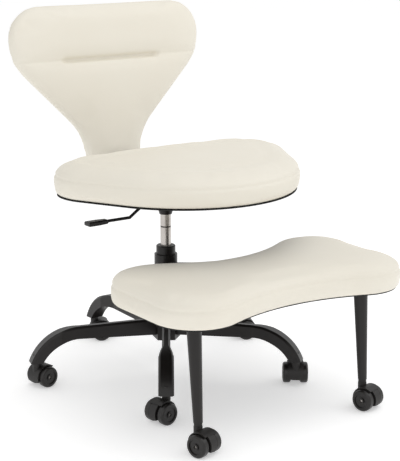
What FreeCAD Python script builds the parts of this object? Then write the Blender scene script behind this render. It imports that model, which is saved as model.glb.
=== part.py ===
import FreeCAD
import Part
import Sketcher
import math
import os
from types import SimpleNamespace

from FreeCAD import Placement, Rotation, Vector

# Cross-legged office chair: seat and back on a gas lift, and a stool that swings round the same column.
# Frame: millimetres, origin on the floor under the column, +Z up, the sitter faces -Y.

SIZES = {
    # casters
    "wheel_diameter": 54,
    "wheel_width": 21,
    "wheel_gap": 23,
    "tread_round": 6,
    "face_recess_diameter": 36,
    "face_recess_depth": 2.5,
    "face_boss_diameter": 16,
    "axle_diameter": 8,
    "axle_setback": 3.5,
    "caster_trail": 18,
    "fender_clearance": 1.6,
    "fender_wall": 3,
    "fender_width": 41,
    "fender_front_angle": 200,
    "fender_rear_angle": 52,
    "web_clearance": 1,
    "web_bottom": 14,
    "caster_height": 64,
    "stem_diameter": 11,
    "stem_reach": 20,
    "stem_seat": 16,
    "running_clearance": 0.05,
    "swivel_gap": 0.3,
    # base
    "base_radius": 350,
    "base_turn": 235.8,
    "hub_flat": 31,
    "hub_bottom": 96,
    "hub_top": 168,
    "leg_top": 151,
    "leg_root_bottom": 108,
    "leg_belly": 119,
    "leg_neck_width": 21,
    "leg_end_width": 38,
    "leg_bend_setback": 105,
    "leg_bend_outer": 130,
    "leg_bend_inner": 105,
    "leg_edge_bevel": 5,
    "flare_setback": 115,
    "flare_length": 52,
    "channel_width": 15,
    "leg_wall": 4,
    "socket_diameter": 18,
    "socket_length": 22,
    "socket_flange_diameter": 24,
    "socket_flange": 2,
    # gas lift
    "cylinder_diameter": 50,
    "cylinder_wall": 2,
    "cylinder_bottom": 100,
    "cylinder_floor": 4,
    "cylinder_top": 343,
    "bush_length": 76,
    "bush_rim": 4,
    "bush_rim_chamfer": 2,
    "tube_diameter": 28,
    "tube_wall": 1.5,
    "tube_bottom": 205,
    "tube_top": 482,
    "tube_end_cap": 12,
    "groove_height": 396,
    "groove_width": 2,
    "groove_depth": 0.6,
    "rod_diameter": 10,
    "rod_top": 300,
    "piston_height": 16,
    "bearing_diameter": 34,
    "bearing_height": 9,
    "button_diameter": 8,
    "button_height": 4,
    "button_depth": 10,
    # seat plate and lever
    "collar_mouth": 430,
    "collar_mouth_diameter": 33,
    "collar_diameter": 40,
    "collar_flare": 14,
    "plate_width": 170,
    "plate_depth": 164,
    "plate_thickness": 3,
    "box_width": 90,
    "box_depth": 124,
    "box_height": 44,
    "box_wall": 3,
    "screw_spread": 130,
    "screw_span": 100,
    "screw_diameter": 6,
    "screw_head_diameter": 12,
    "screw_head_height": 3,
    "screw_length": 13,
    "lever_diameter": 8,
    "lever_pivot": 27,
    "lever_knee": 110,
    "lever_height": 434,
    "lever_end": 212,
    "lever_pin_diameter": 6,
    "lever_slot_width": 13,
    "lever_slot_top": 30,
    "lever_clearance": 0.3,
    "handle_start": 178,
    "handle_length": 58,
    "handle_width": 25,
    "handle_thickness": 12,
    "handle_round": 4,
    # seat
    "seat_bottom": 517,
    "seat_width": 684,
    "seat_front_reach": 383,
    "seat_rear_reach": 102,
    "seat_rear_curve": 1500,
    "seat_corner": 130,
    "seat_front_curve": 300,
    "seat_thickness": 80,
    "seat_draw_in": 16,
    "seat_shoulder": 20,
    "seat_crown_inset": 110,
    "cover_thickness": 1.5,
    "cover_inset": 15,
    "board_thickness": 12,
    "board_inset": 36,
    "foam_clearance": 0.3,
    # back
    "back_setback": 268,
    "back_recline": 5,
    "back_pivot_height": 560,
    "back_top": 955,
    "back_bottom": 522,
    "back_width": 590,
    "back_upper_corner": 90,
    "back_lower_corner": 140,
    "neck_width": 174,
    "neck_curve": 150,
    "back_padding": 44,
    "back_draw_in": 10,
    "back_shoulder": 16,
    "back_crown_inset": 56,
    "back_panel_thickness": 10,
    "back_panel_inset": 12,
    "back_channel_height": 808,
    "back_channel_radius": 14,
    "back_channel_depth": 7,
    "bracket_width": 60,
    "bracket_thickness": 6,
    "bracket_rise": 150,
    "bracket_bend": 18,
    "bracket_lap": 20,
    "bolt_spacing": 44,
    "bolt_diameter": 8,
    "bolt_head_diameter": 16,
    "bolt_head_height": 5,
    "bolt_drop": 24,
    # stool
    "stool_bottom": 310,
    "stool_width": 704,
    "stool_front_reach": 583,
    "stool_rear_reach": 200,
    "stool_front_corner": 115,
    "stool_rear_corner": 117,
    "stool_front_waist": 534,
    "stool_rear_waist": 262,
    "stool_thickness": 72,
    "stool_draw_in": 10,
    "stool_shoulder": 14,
    "stool_crown_inset": 66,
    "sleeve_diameter": 60,
    "sleeve_wall": 3,
    "sleeve_top": 324,
    "sleeve_bush_length": 30,
    "sleeve_bush_flange": 2,
    "arm_width": 40,
    "arm_height": 22,
    "gusset_thickness": 3,
    "gusset_root_half_width": 22,
    "gusset_root_reach": 18,
    "gusset_half_width": 98,
    "gusset_reach": 72,
    "bearer_width": 34,
    "bearer_length": 540,
    "bearer_height": 10,
    "frame_wall": 3,
    "rear_bearer_reach": 350,
    "stool_leg_spread": 248,
    "stool_leg_reach": 477,
    "stool_leg_splay": 16,
    "stool_leg_diameter": 35,
    "stool_foot_diameter": 22,
    "ferrule_diameter": 20,
    "ferrule_height": 6,
}

LEG_COUNT = 5

# Which way each caster trails in the photograph, in degrees from +X.
BASE_CASTER_TURNS = (190, 54, -25, -25, 10)
STOOL_CASTER_TURNS = (-75, -75)


class Size:
    """A length with its value and the expression of the size table that gives it."""

    def __init__(self, value, text):
        self.value = value
        self.text = text

    @staticmethod
    def of(other):
        return other if isinstance(other, Size) else Size(other, repr(other))

    def join(self, other, sign, value):
        return Size(value, f"({self.text} {sign} {other.text})")

    def __add__(self, other):
        other = Size.of(other)
        return self.join(other, "+", self.value + other.value)

    def __sub__(self, other):
        other = Size.of(other)
        return self.join(other, "-", self.value - other.value)

    def __mul__(self, other):
        other = Size.of(other)
        return self.join(other, "*", self.value * other.value)

    def __truediv__(self, other):
        other = Size.of(other)
        return self.join(other, "/", self.value / other.value)

    def __radd__(self, other):
        return Size.of(other) + self

    def __rsub__(self, other):
        return Size.of(other) - self

    def __rmul__(self, other):
        return Size.of(other) * self

    def __neg__(self):
        return Size(-self.value, f"(-{self.text})")


doc = FreeCAD.newDocument("cross_legged_chair")
sheet = doc.addObject("Spreadsheet::Sheet", "sizes")
for row, (alias, number) in enumerate(SIZES.items(), start=1):
    sheet.set(f"A{row}", alias.replace("_", " "))
    sheet.set(f"B{row}", str(number))
    sheet.setAlias(f"B{row}", alias)
doc.recompute()
dim = SimpleNamespace(**{alias: Size(float(sheet.get(alias)), f"sizes.{alias}") for alias in SIZES})

sub_parts = []


def sine(angle):
    return Size(math.sin(math.radians(angle.value)), f"sin({angle.text} * 1 deg)")


def root(square):
    return Size(math.sqrt(square.value), f"sqrt({square.text})")


def cosine(angle):
    return Size(math.cos(math.radians(angle.value)), f"cos({angle.text} * 1 deg)")


def new_body(label):
    """An empty body that becomes one sub-part."""
    body = doc.addObject("PartDesign::Body", label)
    body.Label = label
    body.AllowCompound = True
    sub_parts.append(body)
    return body


def new_sketch(body, role, lift=None):
    """A sketch on one of the body's origin planes, lifted along that plane's normal."""
    plane = next(item for item in body.Origin.OriginFeatures if item.Role == role)
    sketch = body.newObject("Sketcher::SketchObject", f"{body.Name}_sketch")
    sketch.AttachmentSupport = (plane, [""])
    sketch.MapMode = "FlatFace"
    if lift is not None:
        sketch.AttachmentOffset = Placement(Vector(0, 0, lift.value), Rotation())
        sketch.setExpression("AttachmentOffset.Base.z", lift.text)
    return sketch


def pin_point(sketch, geometry, position, point):
    """Hold a point of a sketch at the place that its two sizes give."""
    for kind, axis, distance in (("DistanceX", -2, point[0]), ("DistanceY", -1, point[1])):
        distance = Size.of(distance)
        if distance.value == 0:
            sketch.addConstraint(Sketcher.Constraint("PointOnObject", geometry, position, axis))
            continue
        index = sketch.addConstraint(Sketcher.Constraint(kind, -1, 1, geometry, position, distance.value))
        sketch.setExpression(f"Constraints[{index}]", distance.text)


def draw_lines(sketch, points, closed=True):
    """Straight lines through points whose coordinates are sizes."""
    places = [Vector(Size.of(x).value, Size.of(y).value, 0) for x, y in points]
    count = len(points) if closed else len(points) - 1
    first = sketch.GeometryCount
    for number in range(count):
        sketch.addGeometry(Part.LineSegment(places[number], places[(number + 1) % len(places)]))
    for number in range(count if closed else count - 1):
        after = first + (number + 1) % count
        sketch.addConstraint(Sketcher.Constraint("Coincident", first + number, 2, after, 1))
    for number in range(count):
        pin_point(sketch, first + number, 1, points[number])
    if not closed:
        pin_point(sketch, first + count - 1, 2, points[-1])


def draw_path(sketch, points, radii):
    """A closed path whose corners are sizes; a side with a radius is an arc.

    A radius bulges to the left of the side's run, and a negative one to the right.
    """
    places = [Vector(Size.of(x).value, Size.of(y).value, 0) for x, y in points]
    count = len(points)
    ends = []
    for number, radius in enumerate(radii):
        start = places[number]
        end = places[(number + 1) % count]
        if radius is None:
            sketch.addGeometry(Part.LineSegment(start, end))
            ends.append((1, 2))
            continue
        chord = end - start
        left = Vector(-chord.y, chord.x, 0).normalize()
        size = abs(radius.value)
        bulge = math.copysign(size - math.sqrt(size ** 2 - chord.Length ** 2 / 4), radius.value)
        middle = (start + end) * 0.5 + left * bulge
        if bulge > 0:
            sketch.addGeometry(Part.Arc(end, middle, start))
            ends.append((2, 1))
        else:
            sketch.addGeometry(Part.Arc(start, middle, end))
            ends.append((1, 2))
    for number in range(count):
        following = (number + 1) % count
        sketch.addConstraint(
            Sketcher.Constraint("Coincident", number, ends[number][1], following, ends[following][0]))
    for number, radius in enumerate(radii):
        pin_point(sketch, number, ends[number][0], points[number])
        if radius is not None:
            size = radius if radius.value > 0 else -radius
            index = sketch.addConstraint(Sketcher.Constraint("Radius", number, size.value))
            sketch.setExpression(f"Constraints[{index}]", size.text)


def draw_circle(sketch, centre, diameter):
    """A circle held by its centre and its diameter."""
    place = Vector(Size.of(centre[0]).value, Size.of(centre[1]).value, 0)
    geometry = sketch.addGeometry(Part.Circle(place, Vector(0, 0, 1), diameter.value / 2))
    pin_point(sketch, geometry, 3, centre)
    index = sketch.addConstraint(Sketcher.Constraint("Diameter", geometry, diameter.value))
    sketch.setExpression(f"Constraints[{index}]", diameter.text)


def extrude(body, kind, sketch, length, side="One side", backward=False):
    """A pad or a pocket of a sketch."""
    feature = body.newObject(f"PartDesign::{kind}", f"{body.Name}_{kind.lower()}")
    feature.Profile = sketch
    feature.SideType = side
    feature.Reversed = backward
    feature.setExpression("Length", Size.of(length).text)
    return feature


def turn(body, sketch, kind="Revolution"):
    """A full turn of a sketch about its own vertical axis."""
    feature = body.newObject(f"PartDesign::{kind}", f"{body.Name}_{kind.lower()}")
    feature.Profile = sketch
    feature.ReferenceAxis = (sketch, ["V_Axis"])
    feature.Angle = 360
    return feature


def turned_piece(label, points, placement=Placement()):
    """A piece turned about Z from its half section, given as radius and height."""
    body = new_body(label)
    sketch = new_sketch(body, "XZ_Plane")
    draw_lines(sketch, points)
    turn(body, sketch)
    body.Placement = placement
    return body


def ring_points(inner, outer, bottom, top):
    """Half section of a plain tube from its two diameters."""
    return [(inner / 2, bottom), (outer / 2, bottom), (outer / 2, top), (inner / 2, top)]


def ease_edges(body, kind, measure, size, wanted):
    """Take off the edges of a body that a test picks by their middle and direction."""
    doc.recompute()
    base = body.Tip
    names = []
    for number, edge in enumerate(base.Shape.Edges, start=1):
        middle = edge.valueAt((edge.FirstParameter + edge.LastParameter) / 2)
        along = edge.tangentAt((edge.FirstParameter + edge.LastParameter) / 2)
        if wanted(middle, along):
            names.append(f"Edge{number}")
    feature = body.newObject(f"PartDesign::{kind}", f"{body.Name}_{kind.lower()}")
    feature.Base = (base, names)
    feature.setExpression(measure, size.text)


def round_edges(body, radius, wanted):
    ease_edges(body, "Fillet", "Radius", radius, wanted)


def bevel_edges(body, width, wanted):
    ease_edges(body, "Chamfer", "Size", width, wanted)


def repeat(label, original, placement):
    """One more piece of the same make at another place."""
    link = doc.addObject("App::Link", label)
    link.Label = label
    link.LinkedObject = original
    link.Placement = placement
    sub_parts.append(link)
    return link


def shaped_piece(label, shape, placement=Placement()):
    """A sub-part whose outline of tangent arcs is worked out from the sizes."""
    piece = doc.addObject("Part::Feature", label)
    piece.Label = label
    piece.Shape = shape
    piece.Placement = placement
    sub_parts.append(piece)
    return piece


def about_column(angle):
    return Placement(Vector(), Rotation(Vector(0, 0, 1), angle))


# Casters: hood, pins and two wheels, drawn with the stem on the Z axis and the wheels trailing towards +X

wheel_radius = dim.wheel_diameter / 2
fender_inner = dim.wheel_diameter + 2 * dim.fender_clearance
fender_outer = fender_inner + 2 * dim.fender_wall
caster_width = dim.wheel_gap + 2 * dim.wheel_width
web_width = dim.wheel_gap - 2 * dim.web_clearance
stool_foot_reach = dim.stool_leg_reach + dim.stool_leg_splay


def make_hood(label):
    """Fender over both wheels, web between them and the boss that holds the stem."""
    body = new_body(label)
    axle = (dim.caster_trail, wheel_radius)
    ring = new_sketch(body, "XZ_Plane")
    draw_circle(ring, axle, fender_outer)
    draw_circle(ring, axle, fender_inner)
    extrude(body, "Pad", ring, dim.fender_width, "Symmetric")
    opening = new_sketch(body, "XZ_Plane")
    reach = dim.wheel_diameter
    front = (axle[0] + reach * cosine(dim.fender_front_angle), axle[1] + reach * sine(dim.fender_front_angle))
    rear = (axle[0] + reach * cosine(dim.fender_rear_angle), axle[1] + reach * sine(dim.fender_rear_angle))
    below = axle[1] - 2 * reach
    draw_lines(opening, [axle, front, (front[0], below), (axle[0] + 2 * reach, below),
                         (axle[0] + 2 * reach, rear[1]), rear])
    extrude(body, "Pocket", opening, caster_width, "Symmetric")
    web = new_sketch(body, "XZ_Plane")
    draw_circle(web, axle, fender_inner + dim.fender_wall)
    extrude(body, "Pad", web, web_width, "Symmetric")
    gap = new_sketch(body, "XZ_Plane")
    draw_lines(gap, [(axle[0] - reach, dim.web_bottom), (axle[0] - reach, -reach),
                     (axle[0] + reach, -reach), (axle[0] + reach, dim.web_bottom)])
    extrude(body, "Pocket", gap, web_width, "Symmetric")
    boss = new_sketch(body, "XY_Plane", wheel_radius + dim.axle_diameter)
    draw_circle(boss, (0, 0), web_width)
    extrude(body, "Pad", boss, dim.caster_height - wheel_radius - dim.axle_diameter)
    bore = new_sketch(body, "XY_Plane", dim.caster_height)
    draw_circle(bore, (0, 0), dim.stem_diameter + 2 * dim.running_clearance)
    extrude(body, "Pocket", bore, dim.stem_seat)
    axle_bore = new_sketch(body, "XZ_Plane")
    draw_circle(axle_bore, axle, dim.axle_diameter + 2 * dim.running_clearance)
    extrude(body, "Pocket", axle_bore, caster_width, "Symmetric")
    return body


def make_pins(label):
    """Steel stem up into the socket, and the axle that both wheels run on."""
    body = new_body(label)
    stem = new_sketch(body, "XY_Plane", dim.caster_height - dim.stem_seat)
    draw_circle(stem, (0, 0), dim.stem_diameter)
    extrude(body, "Pad", stem, dim.stem_seat + dim.stem_reach)
    axle = new_sketch(body, "XZ_Plane")
    draw_circle(axle, (dim.caster_trail, wheel_radius), dim.axle_diameter)
    extrude(body, "Pad", axle, caster_width - 2 * dim.axle_setback, "Symmetric")
    return body


def make_wheel(label, side):
    """One wheel, turned about its axle, with a recessed ring in its outer face."""
    bore = dim.axle_diameter / 2 + dim.running_clearance
    inner = dim.wheel_gap / 2
    outer = inner + dim.wheel_width
    recess = outer - dim.face_recess_depth
    half_section = [
        (bore, inner), (wheel_radius, inner), (wheel_radius, outer),
        (dim.face_recess_diameter / 2, outer), (dim.face_recess_diameter / 2, recess),
        (dim.face_boss_diameter / 2, recess), (dim.face_boss_diameter / 2, outer), (bore, outer),
    ]
    body = turned_piece(label, half_section)
    tread = wheel_radius.value

    def at_tread(middle, along):
        return abs(math.hypot(middle.x, middle.y) - tread) < 0.01 and abs(along.z) < 0.01

    round_edges(body, dim.tread_round, at_tread)
    tilt = Rotation(Vector(1, 0, 0), -90 * side)
    body.Placement = Placement(Vector(dim.caster_trail.value, 0, wheel_radius.value), tilt)
    return body


def make_casters():
    """All seven casters: five under the legs of the base and two under the legs of the stool."""
    places = []
    for number in range(LEG_COUNT):
        angle = math.radians(dim.base_turn.value + number * 360 / LEG_COUNT)
        spot = Vector(math.cos(angle), math.sin(angle), 0) * dim.base_radius.value
        places.append((f"base_caster_{number + 1}", spot, BASE_CASTER_TURNS[number]))
    for name, side, angle in zip(("left", "right"), (1, -1), STOOL_CASTER_TURNS):
        spot = Vector(side * dim.stool_leg_spread.value, -stool_foot_reach.value, 0)
        places.append((f"stool_caster_{name}", spot, angle))
    makers = {
        "hood": make_hood,
        "pins": make_pins,
        "wheel_a": lambda label: make_wheel(label, 1),
        "wheel_b": lambda label: make_wheel(label, -1),
    }
    for piece, make in makers.items():
        original = None
        for name, spot, angle in places:
            stand = Placement(spot, Rotation(Vector(0, 0, 1), angle))
            if original is None:
                original = make(f"{name}_{piece}")
                drawn = original.Placement
                original.Placement = stand.multiply(drawn)
            else:
                repeat(f"{name}_{piece}", original, stand.multiply(drawn))


# Base: hub, five legs and the sockets in their ends

leg_end_height = dim.caster_height + dim.swivel_gap + dim.socket_flange


def make_hub():
    """Five-sided hub with the bore that grips the outer cylinder."""
    body = new_body("star_hub")
    corner = dim.hub_flat / math.cos(math.pi / LEG_COUNT)
    outline = []
    for number in range(LEG_COUNT):
        angle = math.pi / LEG_COUNT * (2 * number + 1)
        outline.append((corner * math.cos(angle), corner * math.sin(angle)))
    plan = new_sketch(body, "XY_Plane", dim.hub_bottom)
    draw_lines(plan, outline)
    extrude(body, "Pad", plan, dim.hub_top - dim.hub_bottom)
    bore = new_sketch(body, "XY_Plane", dim.hub_top)
    draw_circle(bore, (0, 0), dim.cylinder_diameter + 2 * dim.running_clearance)
    extrude(body, "Pocket", bore, dim.hub_top - dim.hub_bottom)
    body.Placement = about_column(dim.base_turn.value)


def make_leg(label):
    """Pressed leg along +X: narrow and tall at the hub, flared and bent down over the caster."""
    body = new_body(label)
    bend_start = dim.base_radius - dim.leg_bend_setback
    flare_start = dim.base_radius - dim.flare_setback

    def bend_end(level, radius):
        """How far out a bend that starts at a level has gone when it comes down to the leg's end."""
        fall = leg_end_height - level + radius
        return bend_start + root(radius * radius - fall * fall)

    outer_end = bend_end(dim.leg_top, dim.leg_bend_outer)
    inner_end = bend_end(dim.leg_belly, dim.leg_bend_inner)
    side = new_sketch(body, "XZ_Plane")
    draw_path(side, [
        (dim.hub_flat, dim.leg_root_bottom), (dim.hub_flat, dim.leg_top), (bend_start, dim.leg_top),
        (outer_end, leg_end_height), (inner_end, leg_end_height), (bend_start, dim.leg_belly),
    ], [None, None, dim.leg_bend_outer, None, -dim.leg_bend_inner, None])
    extrude(body, "Pad", side, dim.leg_end_width, "Symmetric")
    neck = dim.leg_neck_width / 2
    edge = dim.leg_end_width / 2
    flare_end = flare_start + dim.flare_length
    waste = new_sketch(body, "XY_Plane", dim.leg_top + dim.leg_wall)
    for sign in (1, -1):
        draw_lines(waste, [
            (0, sign * neck), (flare_start, sign * neck), (flare_end, sign * edge),
            (flare_end, sign * (edge + dim.leg_wall)), (0, sign * (edge + dim.leg_wall)),
        ])
    extrude(body, "Pocket", waste, dim.leg_top)
    bend_centre = (bend_start.value, dim.leg_top.value - dim.leg_bend_outer.value)

    def upper_edge(middle, along):
        """Long edges of the top face and of the outer bend."""
        if abs(along.y) > 0.9 or middle.z < leg_end_height.value + dim.leg_wall.value:
            return False
        if middle.x > bend_centre[0]:
            away = math.hypot(middle.x - bend_centre[0], middle.z - bend_centre[1])
            return away > dim.leg_bend_outer.value - dim.leg_wall.value
        return middle.z > dim.leg_top.value - dim.leg_wall.value

    bevel_edges(body, dim.leg_edge_bevel, upper_edge)
    channel = new_sketch(body, "XZ_Plane")
    channel_start = dim.hub_flat + dim.leg_wall
    channel_top = dim.leg_top - 2 * dim.leg_wall
    draw_lines(channel, [
        (channel_start, 0), (channel_start, channel_top), (flare_start, channel_top), (flare_start, 0),
    ])
    extrude(body, "Pocket", channel, dim.channel_width, "Symmetric")
    bore = new_sketch(body, "XY_Plane", leg_end_height)
    draw_circle(bore, (dim.base_radius, 0), dim.socket_diameter)
    extrude(body, "Pocket", bore, dim.socket_length, backward=True)
    body.Placement = about_column(dim.base_turn.value)
    return body


def make_legs():
    first = make_leg("leg_1")
    for number in range(1, LEG_COUNT):
        turn_angle = dim.base_turn.value + number * 360 / LEG_COUNT
        repeat(f"leg_{number + 1}", first, about_column(turn_angle))


def make_sockets():
    """Flanged plastic sockets in the leg ends, one for each caster stem of the base."""
    body = new_body("base_sockets")
    bore = dim.stem_diameter + 2 * dim.running_clearance
    originals = []
    for diameter, bottom, height in (
        (dim.socket_flange_diameter, leg_end_height - dim.socket_flange, dim.socket_flange),
        (dim.socket_diameter, leg_end_height, dim.socket_length),
    ):
        ring = new_sketch(body, "XY_Plane", bottom)
        draw_circle(ring, (dim.base_radius, 0), diameter)
        draw_circle(ring, (dim.base_radius, 0), bore)
        originals.append(extrude(body, "Pad", ring, height))
    doc.recompute()
    pattern = body.newObject("PartDesign::PolarPattern", "base_sockets_pattern")
    pattern.Originals = originals
    axis = next(item for item in body.Origin.OriginFeatures if item.Role == "Z_Axis")
    pattern.Axis = (axis, [""])
    pattern.Angle = 360
    pattern.Occurrences = LEG_COUNT
    body.Tip = pattern
    body.Placement = about_column(dim.base_turn.value)


# Gas lift: outer cylinder in the hub, guide bush, rod on its bearing, pressure tube and valve button

cylinder_inner = dim.cylinder_diameter - 2 * dim.cylinder_wall
tube_inner = dim.tube_diameter - 2 * dim.tube_wall
bearing_bottom = dim.cylinder_bottom + dim.cylinder_floor
bearing_top = bearing_bottom + dim.bearing_height


def make_gas_lift():
    rim = dim.cylinder_top + dim.bush_rim
    guide = dim.tube_diameter / 2 + dim.running_clearance
    rod_radius = dim.rod_diameter / 2
    rod_hole = rod_radius + dim.running_clearance
    turned_piece("outer_cylinder", [
        (rod_hole, dim.cylinder_bottom), (dim.cylinder_diameter / 2, dim.cylinder_bottom),
        (dim.cylinder_diameter / 2, dim.cylinder_top), (cylinder_inner / 2, dim.cylinder_top),
        (cylinder_inner / 2, bearing_bottom), (rod_hole, bearing_bottom),
    ])
    turned_piece("guide_bush", [
        (guide, dim.cylinder_top - dim.bush_length), (cylinder_inner / 2, dim.cylinder_top - dim.bush_length),
        (cylinder_inner / 2, dim.cylinder_top), (dim.cylinder_diameter / 2, dim.cylinder_top),
        (dim.cylinder_diameter / 2, rim - dim.bush_rim_chamfer),
        (dim.cylinder_diameter / 2 - dim.bush_rim_chamfer, rim), (guide, rim),
    ])
    turned_piece("thrust_bearing", ring_points(
        dim.rod_diameter + 2 * dim.running_clearance, dim.bearing_diameter, bearing_bottom, bearing_top))
    shoulder = rod_radius + dim.cylinder_wall
    piston = tube_inner / 2 - dim.running_clearance
    turned_piece("piston_rod", [
        (0, dim.cylinder_bottom), (rod_radius, dim.cylinder_bottom), (rod_radius, bearing_top),
        (shoulder, bearing_top), (shoulder, bearing_top + dim.cylinder_wall),
        (rod_radius, bearing_top + dim.cylinder_wall), (rod_radius, dim.rod_top - dim.piston_height),
        (piston, dim.rod_top - dim.piston_height), (piston, dim.rod_top), (0, dim.rod_top),
    ])
    half_groove = dim.groove_width / 2
    groove_radius = dim.tube_diameter / 2 - dim.groove_depth
    button_hole = dim.button_diameter / 2 + dim.running_clearance
    turned_piece("pressure_tube", [
        (rod_hole, dim.tube_bottom), (dim.tube_diameter / 2, dim.tube_bottom),
        (dim.tube_diameter / 2, dim.groove_height - half_groove),
        (groove_radius, dim.groove_height - half_groove), (groove_radius, dim.groove_height + half_groove),
        (dim.tube_diameter / 2, dim.groove_height + half_groove), (dim.tube_diameter / 2, dim.tube_top),
        (button_hole, dim.tube_top), (button_hole, dim.tube_top - 2 * dim.tube_end_cap),
        (tube_inner / 2, dim.tube_top - 2 * dim.tube_end_cap),
        (tube_inner / 2, dim.tube_bottom + dim.tube_end_cap), (rod_hole, dim.tube_bottom + dim.tube_end_cap),
    ])
    turned_piece("valve_button", [
        (0, dim.tube_top - dim.button_depth), (dim.button_diameter / 2, dim.tube_top - dim.button_depth),
        (dim.button_diameter / 2, dim.tube_top + dim.button_height), (0, dim.tube_top + dim.button_height),
    ])


# Seat plate: flat flange, box under it and the collar that sits on the pressure tube

plate_bottom = dim.seat_bottom - dim.plate_thickness
box_bottom = dim.seat_bottom - dim.box_height
lever_top = dim.tube_top + dim.button_height + dim.lever_clearance
lever_axis = lever_top + dim.lever_diameter / 2
collar_top = dim.tube_top - dim.lever_clearance


def rectangle(half_x, low_y, high_y):
    return [(-half_x, low_y), (half_x, low_y), (half_x, high_y), (-half_x, high_y)]


def screw_spots():
    """The four places where the plate is screwed to the seat board."""
    spots = []
    for sign_x in (1, -1):
        for sign_y in (1, -1):
            spots.append((sign_x * dim.screw_spread / 2, sign_y * dim.screw_span / 2))
    return spots


def make_swivel_plate():
    body = new_body("swivel_plate")
    box = new_sketch(body, "XY_Plane", box_bottom)
    draw_lines(box, rectangle(dim.box_width / 2, -dim.box_depth / 2, dim.box_depth / 2))
    extrude(body, "Pad", box, dim.box_height)
    hollow = new_sketch(body, "XY_Plane", box_bottom)
    wall = dim.box_wall
    draw_lines(hollow, rectangle(dim.box_width / 2 - wall, wall - dim.box_depth / 2, dim.box_depth / 2 - wall))
    extrude(body, "Pocket", hollow, dim.box_height - dim.plate_thickness, backward=True)
    flange = new_sketch(body, "XY_Plane", plate_bottom)
    draw_lines(flange, rectangle(dim.plate_width / 2, -dim.plate_depth / 2, dim.plate_depth / 2))
    extrude(body, "Pad", flange, dim.plate_thickness)
    bridge = new_sketch(body, "XY_Plane", box_bottom)
    draw_lines(bridge, rectangle(dim.collar_diameter / 2, -dim.box_depth / 2, dim.box_depth / 2))
    extrude(body, "Pad", bridge, dim.plate_thickness)
    collar = new_sketch(body, "XZ_Plane")
    flare_top = dim.collar_mouth + dim.collar_flare
    draw_lines(collar, [
        (0, dim.collar_mouth), (dim.collar_mouth_diameter / 2, dim.collar_mouth),
        (dim.collar_diameter / 2, flare_top), (dim.collar_diameter / 2, collar_top), (0, collar_top),
    ])
    turn(body, collar)
    bore = new_sketch(body, "XY_Plane", collar_top)
    draw_circle(bore, (0, 0), dim.tube_diameter + 2 * dim.running_clearance)
    extrude(body, "Pocket", bore, collar_top - dim.collar_mouth)
    slot = new_sketch(body, "XY_Plane", box_bottom)
    draw_lines(slot, [
        (-dim.box_width, -dim.lever_slot_width / 2), (-dim.lever_pivot, -dim.lever_slot_width / 2),
        (-dim.lever_pivot, dim.lever_slot_width / 2), (-dim.box_width, dim.lever_slot_width / 2),
    ])
    extrude(body, "Pocket", slot, dim.lever_slot_top, backward=True)
    pivot = new_sketch(body, "XZ_Plane")
    draw_circle(pivot, (-dim.lever_pivot, lever_axis), dim.lever_pin_diameter + 2 * dim.running_clearance)
    extrude(body, "Pocket", pivot, dim.plate_depth, "Symmetric")
    holes = new_sketch(body, "XY_Plane", dim.seat_bottom)
    for spot in screw_spots():
        draw_circle(holes, spot, dim.screw_diameter + 2 * dim.foam_clearance)
    extrude(body, "Pocket", holes, dim.plate_thickness)


def make_seat_screws():
    """Four screws up through the plate and the dust cover into the seat board."""
    body = new_body("seat_screws")
    for diameter, bottom, height in (
        (dim.screw_head_diameter, plate_bottom - dim.screw_head_height, dim.screw_head_height),
        (dim.screw_diameter, plate_bottom, dim.screw_length),
    ):
        sketch = new_sketch(body, "XY_Plane", bottom)
        for spot in screw_spots():
            draw_circle(sketch, spot, diameter)
        extrude(body, "Pad", sketch, height)


def make_lever():
    """Bent rod on a cross pin in the box, with a flat handle on its outer end."""
    body = new_body("lever_rod")
    inner_tip = dim.button_diameter / 2
    profile = new_sketch(body, "YZ_Plane", inner_tip)
    draw_circle(profile, (0, lever_axis), dim.lever_diameter)
    path = new_sketch(body, "XZ_Plane")
    draw_lines(path, [
        (inner_tip, lever_axis), (-dim.lever_pivot, lever_axis), (-dim.lever_knee, dim.lever_height),
        (-dim.lever_end, dim.lever_height),
    ], closed=False)
    rod = body.newObject("PartDesign::AdditivePipe", "lever_rod_pipe")
    rod.Profile = profile
    rod.Spine = path
    rod.Transition = "Round corner"
    pin = new_sketch(body, "XZ_Plane")
    draw_circle(pin, (-dim.lever_pivot, lever_axis), dim.lever_pin_diameter)
    extrude(body, "Pad", pin, dim.box_depth, "Symmetric")

    handle = new_body("lever_handle")
    half = dim.handle_width / 2
    neck = dim.lever_diameter
    outer = dim.handle_start + dim.handle_length
    plan = new_sketch(handle, "XY_Plane", dim.lever_height)
    draw_lines(plan, [
        (-dim.handle_start, neck), (-dim.handle_start - dim.handle_width, half), (-outer, half),
        (-outer, -half), (-dim.handle_start - dim.handle_width, -half), (-dim.handle_start, -neck),
    ])
    extrude(handle, "Pad", plan, dim.handle_thickness, "Symmetric")
    middle_height = dim.lever_height.value

    def outer_edges(middle, along):
        return abs(abs(middle.z - middle_height) - dim.handle_thickness.value / 2) < 0.01

    round_edges(handle, dim.handle_round, outer_edges)
    bore = new_sketch(handle, "YZ_Plane", -dim.handle_start)
    draw_circle(bore, (0, dim.lever_height), dim.lever_diameter + 2 * dim.running_clearance)
    extrude(handle, "Pocket", bore, dim.lever_end - dim.handle_start)


# Soft pieces and boards: outlines of tangent arcs, each inset shared by the foam, the board and the cover

def arc(centre, radius, start, end, height):
    """An arc in plan between two angles, given in degrees."""
    points = []
    for angle in (start, (start + end) / 2, end):
        turned = math.radians(angle)
        points.append(Vector(centre[0] + radius * math.cos(turned), centre[1] + radius * math.sin(turned), height))
    return Part.Arc(*points).toShape()


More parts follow.
